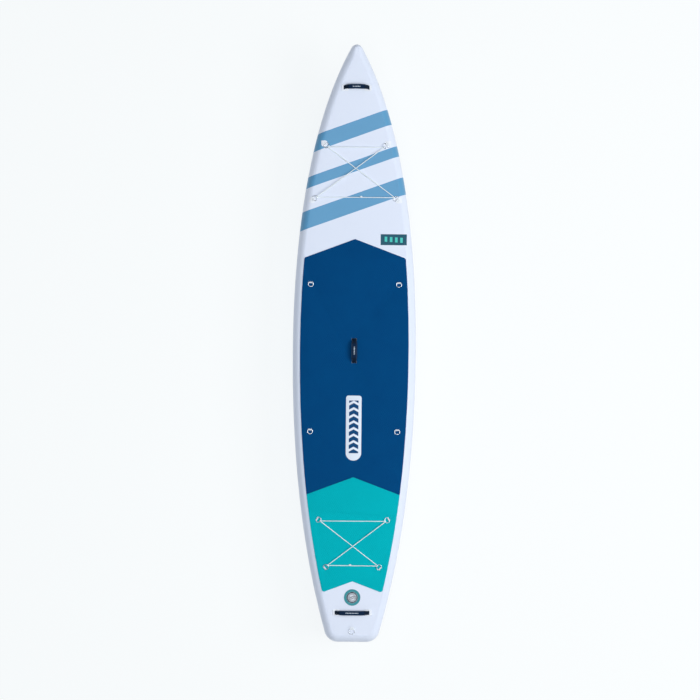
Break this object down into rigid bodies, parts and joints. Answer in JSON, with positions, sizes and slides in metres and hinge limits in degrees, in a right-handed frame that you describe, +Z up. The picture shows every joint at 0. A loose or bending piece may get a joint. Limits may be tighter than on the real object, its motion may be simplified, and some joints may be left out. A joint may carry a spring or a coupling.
{
  "type": "stand up paddleboard",
  "caption": "Inflatable touring stand up paddleboard with foam deck pad, bungee nets, carry handles, D-rings, inflation valve and centre fin.",
  "frame": {"origin": "on the flat bottom of the hull, on the centreline, halfway between nose tip and tail", "axes": "+X across the board to its right side seen from above with the nose up, +Y to the nose, +Z up through the deck"},
  "size_m": [0.787, 3.81, 0.5001],
  "materials": {
    "white_pvc": "satin coated PVC skin, printed pale blue bands on the nose",
    "drop_stitch": "woven drop-stitch fabric",
    "navy_foam": "brushed EVA foam",
    "teal_foam": "brushed EVA foam",
    "webbing_white": "woven polyester webbing on a welded PVC patch",
    "webbing_dark": "woven polyester webbing",
    "handle_grip": "padded neoprene sleeve",
    "ring_steel": "polished stainless wire",
    "bungee_cord": "braided elastic cord",
    "teal_ring": "moulded PVC ring",
    "grey_plastic": "moulded nylon",
    "black_plastic": "moulded nylon",
    "spring_steel": "spring wire",
    "white_plastic": "moulded fin box",
    "brass": "turned brass"
  },
  "bodies": {
    "hull": {"drop_stitch_core": "drop_stitch", "rail_left": "white_pvc", "rail_right": "white_pvc", "deck_skin": "white_pvc", "bottom_skin": "white_pvc", "front_deck_pad": "navy_foam", "rear_deck_pad": "teal_foam", "seat_ring_front_left_anchor": "webbing_dark", "seat_ring_front_right_anchor": "webbing_dark", "seat_ring_rear_left_anchor": "webbing_dark", "seat_ring_rear_right_anchor": "webbing_dark", "front_bungee_ring_fore_left_anchor": "webbing_white", "front_bungee_ring_fore_right_anchor": "webbing_white", "front_bungee_ring_aft_left_anchor": "webbing_white", "front_bungee_ring_aft_right_anchor": "webbing_white", "rear_bungee_ring_fore_left_anchor": "webbing_white", "rear_bungee_ring_fore_right_anchor": "webbing_white", "rear_bungee_ring_aft_left_anchor": "webbing_white", "rear_bungee_ring_aft_right_anchor": "webbing_white", "leash_ring_anchor": "webbing_white", "front_bungee": "bungee_cord", "front_bungee_knot": "bungee_cord", "rear_bungee": "bungee_cord", "rear_bungee_knot": "bungee_cord", "nose_handle_patch_left": "white_pvc", "nose_handle_patch_right": "white_pvc", "tail_handle_patch_left": "white_pvc", "tail_handle_patch_right": "white_pvc", "carry_handle_patch_front": "webbing_dark", "carry_handle_patch_rear": "webbing_dark", "valve_patch_ring": "teal_ring", "valve_body": "grey_plastic", "valve_nut": "grey_plastic", "valve_spring": "spring_steel", "fin_box": "white_plastic"},
    "seat_ring_front_left": {"seat_ring_front_left": "ring_steel"},
    "seat_ring_front_right": {"seat_ring_front_right": "ring_steel"},
    "seat_ring_rear_left": {"seat_ring_rear_left": "ring_steel"},
    "seat_ring_rear_right": {"seat_ring_rear_right": "ring_steel"},
    "front_bungee_ring_fore_left": {"front_bungee_ring_fore_left": "ring_steel"},
    "front_bungee_ring_fore_right": {"front_bungee_ring_fore_right": "ring_steel"},
    "front_bungee_ring_aft_left": {"front_bungee_ring_aft_left": "ring_steel"},
    "front_bungee_ring_aft_right": {"front_bungee_ring_aft_right": "ring_steel"},
    "rear_bungee_ring_fore_left": {"rear_bungee_ring_fore_left": "ring_steel"},
    "rear_bungee_ring_fore_right": {"rear_bungee_ring_fore_right": "ring_steel"},
    "rear_bungee_ring_aft_left": {"rear_bungee_ring_aft_left": "ring_steel"},
    "rear_bungee_ring_aft_right": {"rear_bungee_ring_aft_right": "ring_steel"},
    "leash_ring": {"leash_ring": "ring_steel"},
    "nose_handle": {"nose_handle_webbing": "webbing_dark", "nose_handle_grip": "handle_grip"},
    "tail_handle": {"tail_handle_webbing": "webbing_dark", "tail_handle_grip": "handle_grip"},
    "carry_handle": {"carry_handle_webbing": "webbing_dark", "carry_handle_grip": "handle_grip"},
    "valve_tether": {"valve_tether": "black_plastic"},
    "valve_cap": {"valve_cap": "grey_plastic"},
    "valve_plunger": {"valve_plunger": "grey_plastic"},
    "fin": {"fin": "black_plastic", "fin_nut_plate": "brass"},
    "fin_screw": {"fin_screw": "brass"}
  },
  "joints": [
    {"name": "seat_ring_front_left_swing", "type": "hinge", "parent": "hull", "child": "seat_ring_front_left", "pos_m": [-0.28125, 0.39363, 0.15885], "axis": [-1, 0, 0], "range_deg": [0, 150]},
    {"name": "seat_ring_front_right_swing", "type": "hinge", "parent": "hull", "child": "seat_ring_front_right", "pos_m": [0.28125, 0.39363, 0.15885], "axis": [-1, 0, 0], "range_deg": [0, 150]},
    {"name": "seat_ring_rear_left_swing", "type": "hinge", "parent": "hull", "child": "seat_ring_rear_left", "pos_m": [-0.27786, -0.54551, 0.15885], "axis": [-1, 0, 0], "range_deg": [0, 150]},
    {"name": "seat_ring_rear_right_swing", "type": "hinge", "parent": "hull", "child": "seat_ring_rear_right", "pos_m": [0.27786, -0.54551, 0.15885], "axis": [-1, 0, 0], "range_deg": [0, 150]},
    {"name": "front_bungee_ring_fore_left_swing", "type": "hinge", "parent": "hull", "child": "front_bungee_ring_fore_left", "pos_m": [-0.19591, 1.27332, 0.17992], "axis": [-0.6658, -0.7429, -0.0695], "range_deg": [-1, 1]},
    {"name": "front_bungee_ring_fore_right_swing", "type": "hinge", "parent": "hull", "child": "front_bungee_ring_fore_right", "pos_m": [0.19591, 1.27332, 0.17992], "axis": [-0.6658, 0.7429, 0.0695], "range_deg": [-1, 1]},
    {"name": "front_bungee_ring_aft_left_swing", "type": "hinge", "parent": "hull", "child": "front_bungee_ring_aft_left", "pos_m": [-0.2679, 0.92565, 0.15876], "axis": [0.5429, -0.8394, -0.0252], "range_deg": [-1, 1]},
    {"name": "front_bungee_ring_aft_right_swing", "type": "hinge", "parent": "hull", "child": "front_bungee_ring_aft_right", "pos_m": [0.2679, 0.92565, 0.15876], "axis": [0.5429, 0.8394, 0.0252], "range_deg": [-1, 1]},
    {"name": "rear_bungee_ring_fore_left_swing", "type": "hinge", "parent": "hull", "child": "rear_bungee_ring_fore_left", "pos_m": [-0.22724, -1.11249, 0.15885], "axis": [-0.5666, -0.824, 0], "range_deg": [-1, 1]},
    {"name": "rear_bungee_ring_fore_right_swing", "type": "hinge", "parent": "hull", "child": "rear_bungee_ring_fore_right", "pos_m": [0.22724, -1.11249, 0.15885], "axis": [-0.5666, 0.824, 0], "range_deg": [-1, 1]},
    {"name": "rear_bungee_ring_aft_left_swing", "type": "hinge", "parent": "hull", "child": "rear_bungee_ring_aft_left", "pos_m": [-0.17653, -1.42632, 0.15885], "axis": [0.6659, -0.746, 0], "range_deg": [-1, 1]},
    {"name": "rear_bungee_ring_aft_right_swing", "type": "hinge", "parent": "hull", "child": "rear_bungee_ring_aft_right", "pos_m": [0.17653, -1.42632, 0.15885], "axis": [0.6659, 0.746, 0], "range_deg": [-1, 1]},
    {"name": "leash_ring_swing", "type": "hinge", "parent": "hull", "child": "leash_ring", "pos_m": [0, -1.8175, 0.1556], "axis": [-1, 0, 0], "range_deg": [0, 150]},
    {"name": "nose_handle_swing", "type": "hinge", "parent": "hull", "child": "nose_handle", "pos_m": [0, 1.62974, 0.22248], "axis": [1, 0, 0], "range_deg": [-30, 70], "stiffness_Nm_per_rad": 0.06, "deforming": ["nose_handle_webbing"]},
    {"name": "tail_handle_swing", "type": "hinge", "parent": "hull", "child": "tail_handle", "pos_m": [0, -1.71, 0.1516], "axis": [1, 0, 0], "range_deg": [-50, 50], "stiffness_Nm_per_rad": 0.06, "deforming": ["tail_handle_webbing"]},
    {"name": "carry_handle_swing", "type": "hinge", "parent": "hull", "child": "carry_handle", "pos_m": [0, -0.039, 0.1516], "axis": [0, 1, 0], "range_deg": [-40, 40], "stiffness_Nm_per_rad": 0.06, "deforming": ["carry_handle_webbing"]},
    {"name": "valve_tether_swing", "type": "hinge", "parent": "hull", "child": "valve_tether", "pos_m": [0, -1.5807, 0.1545], "axis": [-1, 0, 0], "range_deg": [0, 150]},
    {"name": "valve_cap_turn", "type": "hinge", "parent": "valve_tether", "child": "valve_cap", "pos_m": [0, -1.614, 0.154], "axis": [0, 0, 1], "range_deg": [0, 90]},
    {"name": "valve_plunger_press", "type": "slide", "parent": "hull", "child": "valve_plunger", "axis": [0, 0, -1], "range_m": [0, 0.008], "stiffness_N_per_m": 250, "springref_m": -0.004, "deforming": ["valve_spring"]},
    {"name": "fin_slide", "type": "slide", "parent": "hull", "child": "fin", "axis": [0, 1, 0], "range_m": [-0.02, 0.02]},
    {"name": "fin_screw_turn", "type": "hinge", "parent": "fin", "child": "fin_screw", "pos_m": [0, -1.526, -0.02], "axis": [0, 0, 1], "continuous": true}
  ]
}
